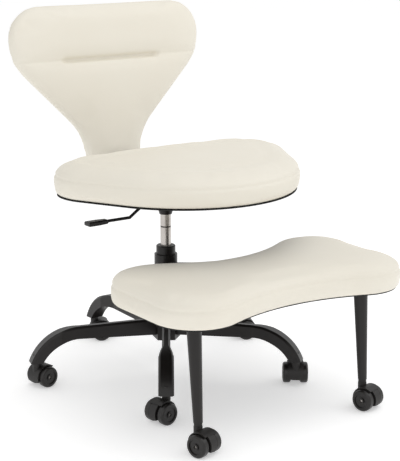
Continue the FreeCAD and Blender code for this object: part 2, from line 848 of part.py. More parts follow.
def close_with_lines(arcs):
    """One wire of arcs in order, with straight lines where two arcs don't meet."""
    edges = []
    for number, edge in enumerate(arcs):
        following = arcs[(number + 1) % len(arcs)]
        edges.append(edge)
        start = edge.valueAt(edge.LastParameter)
        end = following.valueAt(following.FirstParameter)
        if start.distanceToPoint(end) > 1e-6:
            edges.append(Part.LineSegment(start, end).toShape())
    return Part.Wire(edges)


def seat_wire(inset, height):
    """Seat outline: flat rear, round rear corners, straight tapering sides, round front."""
    rear = dim.seat_rear_curve.value
    corner = dim.seat_corner.value
    front = dim.seat_front_curve.value
    rear_centre = (0, dim.seat_rear_reach.value - rear)
    corner_x = dim.seat_width.value / 2 - corner
    corner_y = rear_centre[1] + math.sqrt((rear - corner) ** 2 - corner_x ** 2)
    front_centre = (0, front - dim.seat_front_reach.value)
    meet = math.degrees(math.atan2(corner_y - rear_centre[1], corner_x))
    rise = corner_y - front_centre[1]
    away = math.hypot(corner_x, rise)
    side = math.degrees(math.atan2(rise, corner_x) - math.acos((front - corner) / away))
    return close_with_lines([
        arc(rear_centre, rear - inset, meet, 180 - meet, height),
        arc((-corner_x, corner_y), corner - inset, 180 - meet, 180 - side, height),
        arc(front_centre, front - inset, 180 - side, 360 + side, height),
        arc((corner_x, corner_y), corner - inset, side, meet, height),
    ])


def stool_wire(inset, height):
    """Stool outline: two round lobes with a hollow waist in front and behind."""
    front = dim.stool_front_corner.value
    rear = dim.stool_rear_corner.value
    half = dim.stool_width.value / 2
    front_lobe = (half - front, front - dim.stool_front_reach.value)
    rear_lobe = (half - rear, -dim.stool_rear_reach.value - rear)

    def waist(lobe, radius, depth, sign):
        """Centre height, radius and meeting angle of the hollow that touches both lobes."""
        offset = sign * (lobe[1] - depth)
        curve = (lobe[0] ** 2 + offset ** 2 - radius ** 2) / (2 * (radius + offset))
        centre_y = depth + sign * curve
        meet = math.degrees(math.atan2(lobe[1] - centre_y, lobe[0]))
        return centre_y, curve, meet

    front_y, front_curve, front_meet = waist(front_lobe, front, -dim.stool_front_waist.value, -1)
    rear_y, rear_curve, rear_meet = waist(rear_lobe, rear, -dim.stool_rear_waist.value, 1)
    return close_with_lines([
        arc(rear_lobe, rear - inset, 0, 180 + rear_meet, height),
        arc((0, rear_y), rear_curve + inset, 360 + rear_meet, 180 - rear_meet, height),
        arc((-rear_lobe[0], rear_lobe[1]), rear - inset, -rear_meet, 180, height),
        arc((-front_lobe[0], front_lobe[1]), front - inset, 180, 360 - front_meet, height),
        arc((0, front_y), front_curve + inset, 180 - front_meet, front_meet, height),
        arc(front_lobe, front - inset, 180 + front_meet, 360, height),
    ])


def back_wire(inset, depth):
    """Back outline in width and height: flat top, round shoulders, hollow sides down to a narrow neck."""
    half = dim.back_width.value / 2
    upper = dim.back_upper_corner.value
    lower = dim.back_lower_corner.value
    hollow = dim.neck_curve.value
    neck = dim.neck_width.value / 2
    shoulder = dim.back_top.value - upper
    slope = 45
    drop = half - lower - neck + (lower + hollow) * math.cos(math.radians(slope)) - hollow
    run = drop / math.tan(math.radians(slope))
    hollow_height = shoulder - (lower + hollow) * math.sin(math.radians(slope)) - run
    bottom = dim.back_bottom.value + inset
    right = [
        Part.LineSegment(Vector(neck - inset, bottom, depth), Vector(neck - inset, hollow_height, depth)).toShape(),
        arc((neck + hollow, hollow_height), hollow + inset, 180, 180 - slope, depth),
        arc((half - lower, shoulder), lower - inset, -slope, 0, depth),
        arc((half - upper, shoulder), upper - inset, 0, 90, depth),
    ]
    left = [edge.mirror(Vector(), Vector(1, 0, 0)) for edge in reversed(right)]
    left = [turned_round(edge) for edge in left]
    return close_with_lines(right + left)


def turned_round(edge):
    """The same line or arc run from its other end."""
    start = edge.valueAt(edge.FirstParameter)
    end = edge.valueAt(edge.LastParameter)
    middle = edge.valueAt((edge.FirstParameter + edge.LastParameter) / 2)
    if isinstance(edge.Curve, Part.Line):
        return Part.LineSegment(end, start).toShape()
    return Part.Arc(end, middle, start).toShape()


def slab(wire_of, inset, bottom, thickness):
    """A flat sheet or board of an outline."""
    return Part.Face(wire_of(inset, bottom)).extrude(Vector(0, 0, thickness))


def cushion(wire_of, bottom, thickness, draw_in, shoulder, crown_inset):
    """A crowned pad: its sides swell out from the drawn-in seam and round over to the crown."""
    levels = (
        (draw_in, 0), (draw_in * 0.3, 0.18), (0, 0.45), (shoulder * 0.25, 0.7), (shoulder, 0.89),
        ((shoulder + crown_inset) / 2, 0.98), (crown_inset, 1),
    )
    wires = [wire_of(inset, bottom + share * thickness) for inset, share in levels]
    return Part.makeLoft(wires, True, False)


def screw_holes(bottom, height):
    """Clearance bores for the four seat screws."""
    radius = dim.screw_diameter.value / 2 + dim.foam_clearance.value
    bores = [Part.makeCylinder(radius, height, Vector(x.value, y.value, bottom)) for x, y in screw_spots()]
    return Part.makeCompound(bores)


def padded_set(name, wire_of, bottom, thickness, draw_in, shoulder, crown_inset, screwed):
    """Dust cover, board and cushion of one upholstered piece."""
    cover_top = bottom.value + dim.cover_thickness.value
    room = dim.foam_clearance.value
    cover = slab(wire_of, dim.cover_inset.value, bottom.value, dim.cover_thickness.value)
    board = slab(wire_of, dim.board_inset.value, cover_top, dim.board_thickness.value)
    pad = cushion(wire_of, cover_top, thickness.value, draw_in.value, shoulder.value, crown_inset.value)
    recess = slab(wire_of, dim.board_inset.value - room, cover_top, dim.board_thickness.value + room)
    if screwed:
        holes = screw_holes(bottom.value, dim.cover_thickness.value + dim.board_thickness.value)
        cover = cover.cut(holes)
        board = board.cut(holes)
    shaped_piece(f"{name}_cover", cover)
    shaped_piece(f"{name}_board", board)
    shaped_piece(f"{name}_cushion", pad.cut(recess))


# Back: cushion and panel drawn lying on their rear face, then stood up and leaned back

def back_stand():
    """Stands the back up behind the seat, leaned back about its pivot height."""
    upright = Placement(Vector(), Rotation(Vector(1, 0, 0), 90))
    pivot = Vector(0, 0, dim.back_pivot_height.value)
    lean = Placement(Vector(), Rotation(Vector(1, 0, 0), -dim.back_recline.value), pivot)
    moved = Placement(Vector(0, dim.back_setback.value, 0), Rotation())
    return moved.multiply(lean).multiply(upright)


def make_back():
    rear = 0
    pad = cushion(back_wire, rear, dim.back_padding.value, dim.back_draw_in.value, dim.back_shoulder.value,
                  dim.back_crown_inset.value)
    radius = dim.back_channel_radius.value
    axis_depth = dim.back_padding.value - dim.back_channel_depth.value + radius
    start = Vector(-dim.back_width.value, dim.back_channel_height.value, axis_depth)
    channel = Part.makeCylinder(radius, 2 * dim.back_width.value, start, Vector(1, 0, 0))
    panel = slab(back_wire, dim.back_panel_inset.value, -dim.back_panel_thickness.value,
                 dim.back_panel_thickness.value)
    reach = dim.back_panel_thickness.value
    bore = dim.bolt_diameter.value / 2 + dim.running_clearance.value
    for height in bolt_heights():
        panel = panel.cut(Part.makeCylinder(bore, reach, Vector(0, height.value, -reach)))
    shaped_piece("back_panel", panel, back_stand())
    shaped_piece("back_cushion", pad.cut(channel), back_stand())


def bolt_heights():
    """Heights of the two bolts, on the back's own upright line."""
    top = dim.seat_bottom + dim.bracket_rise - dim.bolt_drop
    return top, top - dim.bolt_spacing


def make_bracket():
    """Flat bar from the seat plate, bent up behind the back panel."""
    body = new_body("back_bracket")
    lean_sine = sine(dim.back_recline)
    lean_cosine = cosine(dim.back_recline)

    def on_back(depth, height):
        """Place behind the seat of a point given by its depth behind the foam and its height on the back."""
        above = height - dim.back_pivot_height
        return (dim.back_setback + depth * lean_cosine + above * lean_sine,
                dim.back_pivot_height - depth * lean_sine + above * lean_cosine)

    front = dim.back_panel_thickness
    behind = front + dim.bracket_thickness
    bar_top = plate_bottom
    bar_bottom = plate_bottom - dim.bracket_thickness

    def meet(depth, level):
        """Where the upright's face at a depth crosses a level."""
        above = (level - dim.back_pivot_height + depth * lean_sine) / lean_cosine
        return (dim.back_setback + depth * lean_cosine + above * lean_sine, level)

    start = dim.plate_depth / 2 - dim.bracket_lap
    top = dim.seat_bottom + dim.bracket_rise
    side = new_sketch(body, "YZ_Plane")
    inner = meet(front, bar_top)
    outer = meet(behind, bar_bottom)
    draw_lines(side, [
        (start, bar_bottom), outer, on_back(behind, top), on_back(front, top), inner, (start, bar_top),
    ])
    extrude(body, "Pad", side, dim.bracket_width, "Symmetric")

    def bend_at(corner):
        def wanted(middle, along):
            near = math.hypot(middle.y - corner[0].value, middle.z - corner[1].value) < 0.01
            return near and abs(along.x) > 0.99
        return wanted

    round_edges(body, dim.bracket_bend, bend_at(inner))
    round_edges(body, dim.bracket_bend + dim.bracket_thickness, bend_at(outer))
    bolt_hole = dim.bolt_diameter + 2 * dim.running_clearance
    for height in bolt_heights():
        drill_bracket(body, on_back(behind, height), bolt_hole)


def drill_bracket(body, spot, diameter):
    """A bore through the upright, square to its leaning face."""
    hole = new_sketch(body, "XZ_Plane")
    lean = Rotation(Vector(1, 0, 0), -dim.back_recline.value)
    base = Vector(0, spot[1].value, -spot[0].value)
    hole.AttachmentOffset = Placement(base, lean)
    hole.setExpression("AttachmentOffset.Base.y", spot[1].text)
    hole.setExpression("AttachmentOffset.Base.z", (-spot[0]).text)
    hole.setExpression("AttachmentOffset.Rotation.Angle", f"-{dim.back_recline.text}")
    draw_circle(hole, (0, 0), diameter)
    extrude(body, "Pocket", hole, 2 * dim.bracket_thickness, "Symmetric")


def make_back_bolts():
    """Two round-headed bolts through the bracket into the panel."""
    body = new_body("back_bolts")
    behind = dim.back_panel_thickness + dim.bracket_thickness
    for diameter, low, height in (
        (dim.bolt_head_diameter, -behind - dim.bolt_head_height, dim.bolt_head_height),
        (dim.bolt_diameter, -behind, behind),
    ):
        sketch = new_sketch(body, "XY_Plane", low)
        for level in bolt_heights():
            draw_circle(sketch, (0, level), diameter)
        extrude(body, "Pad", sketch, height)
    body.Placement = back_stand()


# Stool: sleeve on the column, frame under the board and two tapered legs

bearer_bottom = dim.stool_bottom - dim.bearer_height
arm_top = bearer_bottom
sleeve_inner = dim.sleeve_diameter - 2 * dim.sleeve_wall
sleeve_bottom = dim.hub_top + dim.swivel_gap + dim.sleeve_bush_flange


def make_sleeve():
    turned_piece("stool_sleeve", ring_points(sleeve_inner, dim.sleeve_diameter, sleeve_bottom, dim.sleeve_top))
    body = new_body("sleeve_bushes")
    bore = dim.cylinder_diameter + 2 * dim.running_clearance
    lower = new_sketch(body, "XZ_Plane")
    foot = sleeve_bottom - dim.sleeve_bush_flange
    draw_lines(lower, [
        (bore / 2, foot), (dim.sleeve_diameter / 2, foot), (dim.sleeve_diameter / 2, sleeve_bottom),
        (sleeve_inner / 2, sleeve_bottom), (sleeve_inner / 2, sleeve_bottom + dim.sleeve_bush_length),
        (bore / 2, sleeve_bottom + dim.sleeve_bush_length),
    ])
    draw_lines(lower, ring_points(bore, sleeve_inner, dim.sleeve_top - dim.sleeve_bush_length, dim.sleeve_top))
    turn(body, lower)


def make_stool_frame():
    """Welded frame: arm from the sleeve, flared gusset on it, two bearers across the board and a tie between."""
    body = new_body("stool_frame")
    half = dim.arm_width / 2
    arm = new_sketch(body, "XY_Plane", arm_top - dim.arm_height)
    arm_end = -dim.rear_bearer_reach - dim.bearer_width / 2
    draw_lines(arm, rectangle(half, arm_end, 0))
    extrude(body, "Pad", arm, dim.arm_height)
    tie = new_sketch(body, "XY_Plane", bearer_bottom)
    draw_lines(tie, rectangle(half, -dim.stool_leg_reach, -dim.rear_bearer_reach))
    extrude(body, "Pad", tie, dim.bearer_height)
    gusset = new_sketch(body, "XY_Plane", arm_top - dim.gusset_thickness)
    root = dim.gusset_root_half_width
    flared = dim.gusset_half_width
    far = -dim.rear_bearer_reach
    draw_lines(gusset, [
        (-root, -dim.gusset_root_reach), (-flared, -dim.gusset_reach), (-flared, far), (flared, far),
        (flared, -dim.gusset_reach), (root, -dim.gusset_root_reach),
    ])
    extrude(body, "Pad", gusset, dim.gusset_thickness)
    bearers = new_sketch(body, "XY_Plane", bearer_bottom)
    for reach in (dim.rear_bearer_reach, dim.stool_leg_reach):
        low = -reach - dim.bearer_width / 2
        draw_lines(bearers, rectangle(dim.bearer_length / 2, low, low + dim.bearer_width))
    extrude(body, "Pad", bearers, dim.bearer_height)
    wall = dim.frame_wall
    arm_hollow = new_sketch(body, "XY_Plane", arm_top - dim.arm_height)
    draw_lines(arm_hollow, rectangle(half - wall, arm_end + wall, -dim.gusset_reach))
    extrude(body, "Pocket", arm_hollow, dim.arm_height - wall, backward=True)
    bearer_hollow = new_sketch(body, "XY_Plane", bearer_bottom)
    flared_side = dim.gusset_half_width + wall
    for sign in (1, -1):
        for reach in (dim.rear_bearer_reach, dim.stool_leg_reach):
            low = wall - reach - dim.bearer_width / 2
            high = low + dim.bearer_width - 2 * wall
            inner = sign * flared_side
            outer = sign * (dim.stool_leg_spread - dim.stool_leg_diameter)
            draw_lines(bearer_hollow, [(inner, low), (outer, low), (outer, high), (inner, high)])
    extrude(body, "Pocket", bearer_hollow, dim.bearer_height - wall, backward=True)
    seat_on_sleeve = new_sketch(body, "XY_Plane", dim.sleeve_top)
    draw_circle(seat_on_sleeve, (0, 0), dim.sleeve_diameter)
    extrude(body, "Pocket", seat_on_sleeve, dim.sleeve_top)


def make_stool_leg(label, side):
    """Tapered round leg from the front bearer down to a ferrule that takes the caster stem."""
    body = new_body(label)
    x = side * dim.stool_leg_spread
    ferrule_top = leg_end_height + dim.ferrule_height
    foot = new_sketch(body, "XY_Plane", ferrule_top)
    draw_circle(foot, (x, -stool_foot_reach), dim.stool_foot_diameter)
    head = new_sketch(body, "XY_Plane", bearer_bottom)
    draw_circle(head, (x, -dim.stool_leg_reach), dim.stool_leg_diameter)
    taper = body.newObject("PartDesign::AdditiveLoft", f"{label}_loft")
    taper.Profile = foot
    taper.Sections = [head]
    ferrule = new_sketch(body, "XY_Plane", leg_end_height - dim.socket_flange)
    draw_circle(ferrule, (x, -stool_foot_reach), dim.ferrule_diameter)
    extrude(body, "Pad", ferrule, dim.ferrule_height + dim.socket_flange)
    bore = new_sketch(body, "XY_Plane", leg_end_height - dim.socket_flange)
    draw_circle(bore, (x, -stool_foot_reach), dim.stem_diameter + 2 * dim.running_clearance)
    extrude(body, "Pocket", bore, dim.socket_length + dim.socket_flange, backward=True)


def build():
    make_hub()
    make_legs()
    make_sockets()
    make_gas_lift()
    make_swivel_plate()
    make_seat_screws()
    make_lever()
    padded_set("seat", seat_wire, dim.seat_bottom, dim.seat_thickness, dim.seat_draw_in, dim.seat_shoulder,
               dim.seat_crown_inset, True)
    make_bracket()
    make_back()
    make_back_bolts()
    make_sleeve()
    make_stool_frame()
    padded_set("stool", stool_wire, dim.stool_bottom, dim.stool_thickness, dim.stool_draw_in,
               dim.stool_shoulder, dim.stool_crown_inset, False)
    make_stool_leg("stool_leg_left", 1)
    make_stool_leg("stool_leg_right", -1)
    make_casters()
    doc.recompute()


def write_parts():
    """Check every object and write one file for each sub-part."""
    for item in doc.Objects:
        if {"Invalid", "Error"} & set(item.State):
            raise RuntimeError(f"{item.Label} did not build: {item.State}")
    for part in sub_parts:
        shape = part.Shape
        if shape.isNull() or not shape.isValid() or not shape.Solids:
            raise RuntimeError(f"{part.Label} has no sound shape")
    os.makedirs("parts", exist_ok=True)
    for part in sub_parts:
        part.Shape.exportStep(f"parts/{part.Label}.step")
    print(f"{len(sub_parts)} sub-parts written")


build()
write_parts()
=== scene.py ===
import math

import bpy
import numpy as np
from mathutils import Matrix, Vector


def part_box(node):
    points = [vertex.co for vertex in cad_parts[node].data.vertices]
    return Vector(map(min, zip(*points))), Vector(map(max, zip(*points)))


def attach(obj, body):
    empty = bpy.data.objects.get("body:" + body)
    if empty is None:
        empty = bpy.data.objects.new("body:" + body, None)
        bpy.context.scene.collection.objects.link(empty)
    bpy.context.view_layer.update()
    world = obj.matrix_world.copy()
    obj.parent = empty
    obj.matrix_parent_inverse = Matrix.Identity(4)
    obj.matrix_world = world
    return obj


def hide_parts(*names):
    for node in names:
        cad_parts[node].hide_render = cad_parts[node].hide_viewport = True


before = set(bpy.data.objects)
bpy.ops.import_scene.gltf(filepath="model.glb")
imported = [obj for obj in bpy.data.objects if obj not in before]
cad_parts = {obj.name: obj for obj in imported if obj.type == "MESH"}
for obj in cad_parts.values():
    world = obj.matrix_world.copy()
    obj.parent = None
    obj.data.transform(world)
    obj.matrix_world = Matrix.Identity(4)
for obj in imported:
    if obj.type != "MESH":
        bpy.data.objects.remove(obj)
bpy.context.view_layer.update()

bl_info = {
    "name": "Cross-legged office chair",
    "version": (1, 0, 0),
    "blender": (4, 5, 0),
    "location": "View3D > Sidebar > Chair",
    "description": "Dresses the chair's frame with upholstery, finishes and a studio",
    "category": "Object",
}

# Names of the parts that repeat
BASE_LEGS = [f"leg_{number}" for number in range(1, 6)]
BASE_CASTERS = [f"base_caster_{number}" for number in range(1, 6)]
STOOL_CASTERS = ["stool_caster_left", "stool_caster_right"]

# Groove of the pressure tube, at rest, where a dark band is painted as its shade
GROOVE_HEIGHT = 0.397
GROOVE_HALF_WIDTH = 0.0016

# Meshes of the leather
WELD_DISTANCE = 0.00002
SMOOTH_FACTOR = 0.5
FIRST_SMOOTHING = 4
FILLED_SMOOTHING = 12
PANEL_SMOOTHING = 6
PANEL_VOXEL_SHARE = 0.8

# Filling: a hold that starts over 1 keeps the nearest points wholly still
FILL_FRAMES = 20
HOLD_START = 1.2
UNDERSIDE_FALL = 8
REAR_HOLD_DEPTH = 0.006
SLIT_HOLD_WIDTH = 0.008
SMALLEST_STEP = 1e-9

# Sewing
SIDE_GAIN = 1.5
FRONT_START = 0.012
FRONT_EASE = 0.01
SLIT_END_EASE = 0.03
PINCH_WIDTH = 0.010
PINCH_SHARE = 0.4
SLIT_LINE_DEPTH = 0.0016

# Studio
WHITE = (1.0, 1.0, 1.0, 1.0)
FLOOR_REACH = 14.0
FLOOR_TONE = (0.9, 0.9, 0.9, 1.0)
LAMP_AIM = Vector((0, -0.1, 0.45))
SENSOR_WIDTH = 36.0
SIGHT_LIMIT = 100.0


class ChairSizes(bpy.types.PropertyGroup):
    """Sizes of the upholstery that a user may change."""

    voxel: bpy.props.FloatProperty(
        name="Leather mesh", description="Spacing of the points of the leather before subdivision",
        default=0.006, unit="LENGTH")
    start_inset: bpy.props.FloatProperty(
        name="Start inset", description="How much smaller a cushion is before it is filled",
        default=0.003, unit="LENGTH")
    swell_limit: bpy.props.FloatProperty(
        name="Swell limit", description="Farthest that a point of a cushion moves while it is filled",
        default=0.005, unit="LENGTH")
    fill_pressure: bpy.props.FloatProperty(
        name="Fill pressure", description="Pressure that fills a cushion", default=4.0)
    band_seam_share: bpy.props.FloatProperty(
        name="Band seam",
        description="Height of the seam between top and side band, as a share of the thickness",
        default=0.6, subtype="FACTOR")
    band_seam_depth: bpy.props.FloatProperty(
        name="Band seam depth", description="How deep the seam round a cushion is drawn in",
        default=0.0026, unit="LENGTH")
    seam_width: bpy.props.FloatProperty(
        name="Seam width", description="Half width of a sewn line", default=0.004, unit="LENGTH")
    side_seam_place: bpy.props.FloatVectorProperty(
        name="Side seam", description="Where the upright seam of the stool's side band is", size=2,
        default=(-0.352, -0.397), unit="LENGTH")
    slit_height: bpy.props.FloatProperty(
        name="Slit height", description="Height of the sewn line across the back",
        default=0.808, unit="LENGTH")
    slit_half_length: bpy.props.FloatProperty(
        name="Slit half length", description="Half length of the deep pinch in the back",
        default=0.160, unit="LENGTH")
    slit_depth: bpy.props.FloatProperty(
        name="Slit depth", description="Depth of the pinch in the back", default=0.011, unit="LENGTH")
    back_setback: bpy.props.FloatProperty(
        name="Back setback", description="How far the back's rear face is behind the column",
        default=0.268, unit="LENGTH")
    back_pivot: bpy.props.FloatProperty(
        name="Back pivot height", description="Height that the back leans about",
        default=0.560, unit="LENGTH")
    back_recline: bpy.props.FloatProperty(
        name="Back recline", description="How far the back leans",
        default=math.radians(5), subtype="ANGLE")


class ChairColours(bpy.types.PropertyGroup):
    """Colours of the finishes, in linear light."""

    leather: bpy.props.FloatVectorProperty(
        name="Leather", description="Cream leather in the light",
        default=(0.82, 0.785, 0.695), subtype="COLOR")
    leather_deep: bpy.props.FloatVectorProperty(
        name="Leather, deeper", description="Cream leather where the dye is deeper",
        default=(0.79, 0.745, 0.645), subtype="COLOR")
    steel_paint: bpy.props.FloatVectorProperty(
        name="Black paint", description="Baked black paint of the steel",
        default=(0.0065, 0.0052, 0.0048), subtype="COLOR")
    steel_paint_thin: bpy.props.FloatVectorProperty(
        name="Black paint, thin", description="Black paint where it lies thinner",
        default=(0.011, 0.009, 0.008), subtype="COLOR")
    # This colour is also painted as the shade in the pressure tube's groove.
    plastic: bpy.props.FloatVectorProperty(
        name="Black plastic", description="Moulded black plastic, and the grease in the tube's groove",
        default=(0.009, 0.0078, 0.0072), subtype="COLOR")
    bare_steel: bpy.props.FloatVectorProperty(
        name="Bare steel", description="Ground steel of the tube, the pins and the fasteners",
        default=(0.56, 0.53, 0.50), subtype="COLOR")
    cloth: bpy.props.FloatVectorProperty(
        name="Dust cloth", description="Black cloth under the cushions",
        default=(0.012, 0.012, 0.012), subtype="COLOR")
    plywood: bpy.props.FloatVectorProperty(
        name="Plywood", description="Boards in the cushions",
        default=(0.42, 0.28, 0.15), subtype="COLOR")


class ChairStudio(bpy.types.PropertyGroup):
    """Camera and light of the studio."""

    lens: bpy.props.FloatProperty(
        name="Lens", description="Focal length on a 36 mm sensor", default=105.42)
    camera_place: bpy.props.FloatVectorProperty(
        name="Camera place", description="Where the camera stands",
        default=(-1.901, -2.818, 1.2136), subtype="TRANSLATION")
    camera_turn: bpy.props.FloatProperty(
        name="Camera turn", description="Heading of the camera from +Y towards +X",
        default=math.radians(35.5), subtype="ANGLE")
    camera_drop: bpy.props.FloatProperty(
        name="Camera drop", description="How far the camera looks down",
        default=math.radians(13.71), subtype="ANGLE")
    sky: bpy.props.FloatProperty(
        name="Sky", description="Strength of the light from all round", default=0.68)
    floor_glow: bpy.props.FloatProperty(
        name="Floor glow", description="Light that the floor gives off, to show white", default=0.39)
    overhead_power: bpy.props.FloatProperty(
        name="Overhead light", description="Power of the large light above", default=22.0, unit="POWER")
    key_power: bpy.props.FloatProperty(
        name="Key light", description="Power of the large light on the right", default=12.0, unit="POWER")
    fill_power: bpy.props.FloatProperty(
        name="Fill light", description="Power of the light beside the camera", default=11.0, unit="POWER")


class Signal:
    """A shader socket that can be used in sums and products."""

    def __init__(self, nodes, socket):
        self.nodes = nodes
        self.socket = socket

    def combined(self, operation, first, second):
        return self.nodes.add("ShaderNodeMath", {"operation": operation}, {0: first, 1: second})["Value"]

    def __add__(self, other):
        return self.combined("ADD", self, other)

    def __radd__(self, other):
        return self.combined("ADD", other, self)

    def __mul__(self, other):
        return self.combined("MULTIPLY", self, other)

    def __rmul__(self, other):
        return self.combined("MULTIPLY", other, self)


class Nodes:
    """A node tree and the one method that adds nodes to it."""

    def __init__(self, owner):
        owner.use_nodes = True
        self.tree = owner.node_tree

    def add(self, kind, settings=None, values=None):
        """A node of a kind, with its settings made first, then its socket values and links."""
        node = self.tree.nodes.new(kind)
        for key, value in (settings or {}).items():
            setattr(node, key, value)
        self.feed(node, values or {})
        return {output.name: Signal(self, output) for output in node.outputs if output.enabled}

    def feed(self, node, values):
        """Set or link the inputs of a node."""
        for key, value in values.items():
            socket = node.inputs[key]
            if isinstance(value, Signal):
                self.tree.links.new(value.socket, socket)
            else:
                socket.default_value = value


class Finish(Nodes):
    """A material and what its surface is made of."""

    def __init__(self, name):
        self.material = bpy.data.materials.new(name)
        super().__init__(self.material)

    def surface(self, values):
        """Set or link the inputs of the material's one shader."""
        self.feed(self.tree.nodes["Principled BSDF"], values)

    def place(self):
        """Points of the piece at rest, in metres."""
        return self.add("ShaderNodeTexCoord")["Object"]

    def noise(self, scale, detail, at=None):
        values = {"Vector": at or self.place(), "Scale": scale, "Detail": detail}
        return self.add("ShaderNodeTexNoise", values=values)["Fac"]

    def pebbles(self, scale, smoothness):
        """Rounded cells, like the grain of leather."""
        values = {"Vector": self.place(), "Scale": scale, "Smoothness": smoothness}
        return self.add("ShaderNodeTexVoronoi", {"feature": "SMOOTH_F1"}, values)["Distance"]

    def streaks(self, scales, detail):
        """Noise that is drawn out by a scale on each axis."""
        values = {"Vector": self.place(), "Scale": scales}
        return self.noise(1.0, detail, self.add("ShaderNodeMapping", values=values)["Vector"])

    def level(self, height, half_width):
        """1 within a half width of a height, and 0 elsewhere."""
        here = self.add("ShaderNodeSeparateXYZ", values={"Vector": self.place()})["Z"]
        values = {0: here, 1: height, 2: half_width}
        return self.add("ShaderNodeMath", {"operation": "COMPARE"}, values)["Value"]

    def blend(self, share, first, second):
        """A colour between two colours, the first of which can be a blend itself."""
        start = first if isinstance(first, Signal) else (*first, 1.0)
        values = {"Fac": share, "Color1": start, "Color2": (*second, 1.0)}
        return self.add("ShaderNodeMixRGB", values=values)["Color"]

    def relief(self, height, depth, strength):
        """Bump from a height signal, its full depth given in metres."""
        values = {"Height": height, "Distance": depth, "Strength": strength}
        return self.add("ShaderNodeBump", values=values)["Normal"]


def colours():
    return bpy.context.scene.chair_colours


def sizes():
    return bpy.context.scene.chair_sizes


def studio():
    return bpy.context.scene.chair_studio


def shade(colour, share):
    """A colour made lighter or darker."""
    return tuple(channel * share for channel in colour)


def cream_leather():
    """Soft cream leather: pebbled grain, slow changes of dye and small creases."""
    finish = Finish("cream_leather")
    grain = finish.pebbles(scale=620.0, smoothness=0.6)
    creases = finish.noise(scale=42.0, detail=5.0)
    dye = finish.noise(scale=5.0, detail=3.0)
    height = grain * 0.55 + creases * 0.9
    finish.surface({
        "Base Color": finish.blend(dye, colours().leather, colours().leather_deep),
        "Roughness": 0.44 + dye * 0.12 + grain * 0.06,
        "Normal": finish.relief(height, depth=0.0004, strength=0.55),
        "Specular IOR Level": 0.36,
    })
    return finish.material


def leather():
    """The one leather that all the cushions share."""
    return bpy.data.materials.get("cream_leather") or cream_leather()


def black_paint(name):
    """Baked black paint on steel, with fine orange peel."""
    finish = Finish(name)
    peel = finish.noise(scale=420.0, detail=2.0)
    drift = finish.noise(scale=14.0, detail=3.0)
    finish.surface({
        "Base Color": finish.blend(drift, colours().steel_paint, colours().steel_paint_thin),
        "Roughness": 0.27 + peel * 0.1 + drift * 0.1,
        "Normal": finish.relief(peel, depth=0.00025, strength=0.35),
        "Specular IOR Level": 0.36,
    })
    return finish.material


def black_plastic(name, base_roughness, texture):
    """Moulded black plastic with a spark-eroded texture."""
    finish = Finish(name)
    spark = finish.noise(scale=1400.0, detail=2.0)
    drift = finish.noise(scale=30.0, detail=2.0)
    finish.surface({
        "Base Color": finish.blend(drift, colours().plastic, shade(colours().plastic, 1.5)),
        "Roughness": base_roughness + spark * 0.12 + drift * 0.06,
        "Normal": finish.relief(spark, depth=0.0002, strength=texture),
        "Specular IOR Level": 0.4,
    })
    return finish.material


def ground_steel(name, line_scales, groove=None):
    """Bare steel with the fine lines of grinding, and a painted dark band of shade in its groove if it
    has one.
    """
    finish = Finish(name)
    lines = finish.streaks(line_scales, detail=3.0)
    drift = finish.noise(scale=20.0, detail=2.0)
    tint = finish.blend(drift, colours().bare_steel, shade(colours().bare_steel, 0.82))
    if groove:
        # Painted shade: a band at the groove's height gets the dark plastic colour.
        tint = finish.blend(finish.level(groove, GROOVE_HALF_WIDTH), tint, colours().plastic)
    finish.surface({
        "Base Color": tint,
        "Metallic": 1.0,
        "Roughness": 0.2 + lines * 0.16,
        "Normal": finish.relief(lines, depth=0.00005, strength=0.4),
    })
    return finish.material


def dust_cloth():
    """Thin black non-woven cloth."""
    finish = Finish("dust_cloth")
    fibres = finish.noise(scale=900.0, detail=4.0)
    finish.surface({
        "Base Color": finish.blend(fibres, colours().cloth, shade(colours().cloth, 2.0)),
        "Roughness": 0.8 + fibres * 0.15,
        "Normal": finish.relief(fibres, depth=0.0003, strength=0.5),
    })
    return finish.material


def plywood():
    """Birch plywood of the boards."""
    finish = Finish("plywood")
    figure = finish.streaks((6.0, 90.0, 300.0), detail=5.0)
    finish.surface({
        "Base Color": finish.blend(figure, colours().plywood, shade(colours().plywood, 0.7)),
        "Roughness": 0.55 + figure * 0.2,
        "Normal": finish.relief(figure, depth=0.0003, strength=0.3),
    })
    return finish.material


def paint_nodes(names, material):
    """Give carried-over parts of the frame one finish."""
    for name in names:
        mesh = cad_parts[name].data
        mesh.materials.clear()
        mesh.materials.append(material)


def vertex_values(mesh, kind):
    """One row of three numbers for every vertex of a mesh."""
    values = np.empty(len(mesh.vertices) * 3)
    mesh.vertices.foreach_get(kind, values)
    return values.reshape(-1, 3)


def mesh_points(mesh):
    return vertex_values(mesh, "co")


def mesh_normals(mesh):
    return vertex_values(mesh, "normal")


def move_points(mesh, points):
    mesh.vertices.foreach_set("co", np.ascontiguousarray(points).ravel())
    mesh.update()


def applied(piece):
    """Make what a piece's modifiers give into its own mesh."""
    graph = bpy.context.evaluated_depsgraph_get()
    graph.update()
    mesh = bpy.data.meshes.new_from_object(piece.evaluated_get(graph))
    old = piece.data
    piece.modifiers.clear()
    piece.data = mesh
    bpy.data.meshes.remove(old)


def remeshed_copy(name, node, voxel):
    """A new piece from a soft part of the frame, with an even mesh."""
    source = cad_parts[node].data.copy()
    piece = bpy.data.objects.new(name, source)
    bpy.context.scene.collection.objects.link(piece)
    weld = piece.modifiers.new("weld", "WELD")
    weld.merge_threshold = WELD_DISTANCE
    remesh = piece.modifiers.new("even", "REMESH")
    remesh.mode = "VOXEL"
    remesh.voxel_size = voxel
    applied(piece)
    piece.data.materials.clear()
    return piece


def smoothed(piece, rounds):
    smooth = piece.modifiers.new("smooth", "SMOOTH")
    smooth.factor = SMOOTH_FACTOR
    smooth.iterations = rounds
    applied(piece)


